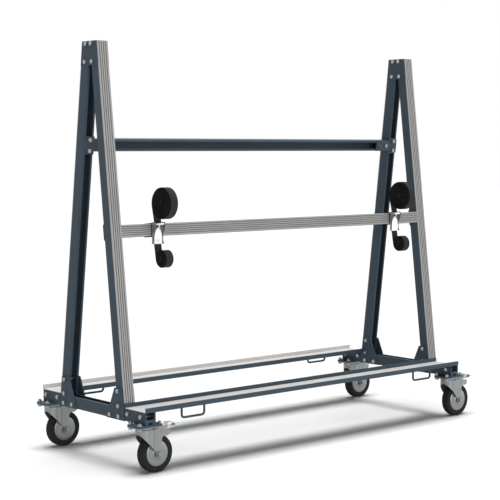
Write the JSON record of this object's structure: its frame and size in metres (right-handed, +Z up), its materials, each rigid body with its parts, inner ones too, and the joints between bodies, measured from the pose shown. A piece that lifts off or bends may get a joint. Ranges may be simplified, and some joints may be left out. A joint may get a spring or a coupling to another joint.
{
  "type": "sheet goods cart",
  "caption": "Two-sided A-frame cart for sheet goods: lined trays, ribbed leaning strips, cross bars, tie-down straps, pull handles and braked swivel casters.",
  "frame": {"origin": "centre of the whole box, on the floor", "axes": "+X along the cart, the way the casters trail; +Y from the strap side to the plain side; +Z up"},
  "size_m": [2.1446, 0.78, 1.8],
  "materials": {
    "paint": "satin powder coat, blue grey",
    "zinc": "bright zinc plate",
    "strip": "matt, ribbed",
    "liner": "matt, smooth",
    "tyre": "matt",
    "wheel": "zinc plate on pressed steel",
    "webbing": "woven, matt"
  },
  "bodies": {
    "frame": {"cross_member_left": "paint", "cross_member_right": "paint", "leg_front_left": "paint", "leg_front_right": "paint", "leg_rear_left": "paint", "leg_rear_right": "paint", "leg_strip_front_left": "strip", "leg_strip_front_right": "strip", "leg_strip_rear_left": "strip", "leg_strip_rear_right": "strip", "top_plates": "paint", "foot_gussets": "paint", "top_bar": "paint", "mid_bar": "paint", "mid_bar_strip": "strip", "bar_brackets": "paint", "tray_front": "paint", "tray_rear": "paint", "tray_liners": "liner", "handle_front_left": "paint", "handle_front_right": "paint", "handle_rear_left": "paint", "handle_rear_right": "paint", "end_consoles": "paint", "mounting_plates": "paint", "frame_bolts": "zinc", "frame_nuts": "zinc", "caster_bolts": "zinc", "caster_plates": "zinc", "strap_loop_left": "webbing", "strap_loop_right": "webbing", "upper_roll_left": "webbing", "upper_roll_right": "webbing", "lower_roll_left": "webbing", "lower_roll_right": "webbing", "buckle_frame_left": "zinc", "buckle_frame_right": "zinc", "buckle_pins": "zinc"},
    "fork_front_left": {"fork_front_left": "zinc", "axle_front_left": "zinc"},
    "wheel_front_left": {"wheel_front_left": "wheel", "tyre_front_left": "tyre"},
    "pedal_front_left": {"pedal_front_left": "zinc"},
    "fork_front_right": {"fork_front_right": "zinc", "axle_front_right": "zinc"},
    "wheel_front_right": {"wheel_front_right": "wheel", "tyre_front_right": "tyre"},
    "pedal_front_right": {"pedal_front_right": "zinc"},
    "fork_rear_left": {"fork_rear_left": "zinc", "axle_rear_left": "zinc"},
    "wheel_rear_left": {"wheel_rear_left": "wheel", "tyre_rear_left": "tyre"},
    "pedal_rear_left": {"pedal_rear_left": "zinc"},
    "fork_rear_right": {"fork_rear_right": "zinc", "axle_rear_right": "zinc"},
    "wheel_rear_right": {"wheel_rear_right": "wheel", "tyre_rear_right": "tyre"},
    "pedal_rear_right": {"pedal_rear_right": "zinc"},
    "buckle_lever_left": {"buckle_lever_left": "zinc"},
    "buckle_lever_right": {"buckle_lever_right": "zinc"}
  },
  "joints": [
    {"name": "swivel_front_left", "type": "hinge", "parent": "frame", "child": "fork_front_left", "pos_m": [-1.00975, -0.345, 0.186], "axis": [0, 0, 1], "continuous": true},
    {"name": "spin_front_left", "type": "hinge", "parent": "fork_front_left", "child": "wheel_front_left", "pos_m": [-0.95975, -0.345, 0.08], "axis": [0, 1, 0], "continuous": true},
    {"name": "brake_front_left", "type": "hinge", "parent": "fork_front_left", "child": "pedal_front_left", "pos_m": [-0.94355, -0.345, 0.171], "axis": [0, 1, 0], "range_deg": [0, 12]},
    {"name": "swivel_front_right", "type": "hinge", "parent": "frame", "child": "fork_front_right", "pos_m": [0.88725, -0.345, 0.186], "axis": [0, 0, 1], "continuous": true},
    {"name": "spin_front_right", "type": "hinge", "parent": "fork_front_right", "child": "wheel_front_right", "pos_m": [0.93725, -0.345, 0.08], "axis": [0, 1, 0], "continuous": true},
    {"name": "brake_front_right", "type": "hinge", "parent": "fork_front_right", "child": "pedal_front_right", "pos_m": [0.95345, -0.345, 0.171], "axis": [0, 1, 0], "range_deg": [0, 12]},
    {"name": "swivel_rear_left", "type": "hinge", "parent": "frame", "child": "fork_rear_left", "pos_m": [-1.00975, 0.345, 0.186], "axis": [0, 0, 1], "continuous": true},
    {"name": "spin_rear_left", "type": "hinge", "parent": "fork_rear_left", "child": "wheel_rear_left", "pos_m": [-0.95975, 0.345, 0.08], "axis": [0, 1, 0], "continuous": true},
    {"name": "brake_rear_left", "type": "hinge", "parent": "fork_rear_left", "child": "pedal_rear_left", "pos_m": [-0.94355, 0.345, 0.171], "axis": [0, 1, 0], "range_deg": [0, 12]},
    {"name": "swivel_rear_right", "type": "hinge", "parent": "frame", "child": "fork_rear_right", "pos_m": [0.88725, 0.345, 0.186], "axis": [0, 0, 1], "continuous": true},
    {"name": "spin_rear_right", "type": "hinge", "parent": "fork_rear_right", "child": "wheel_rear_right", "pos_m": [0.93725, 0.345, 0.08], "axis": [0, 1, 0], "continuous": true},
    {"name": "brake_rear_right", "type": "hinge", "parent": "fork_rear_right", "child": "pedal_rear_right", "pos_m": [0.95345, 0.345, 0.171], "axis": [0, 1, 0], "range_deg": [0, 12]},
    {"name": "buckle_left", "type": "hinge", "parent": "frame", "child": "buckle_lever_left", "pos_m": [-0.80125, -0.17724, 1.021], "axis": [-1, 0, 0], "range_deg": [0, 90]},
    {"name": "buckle_right", "type": "hinge", "parent": "frame", "child": "buckle_lever_right", "pos_m": [0.67875, -0.17724, 1.021], "axis": [-1, 0, 0], "range_deg": [0, 90]}
  ]
}
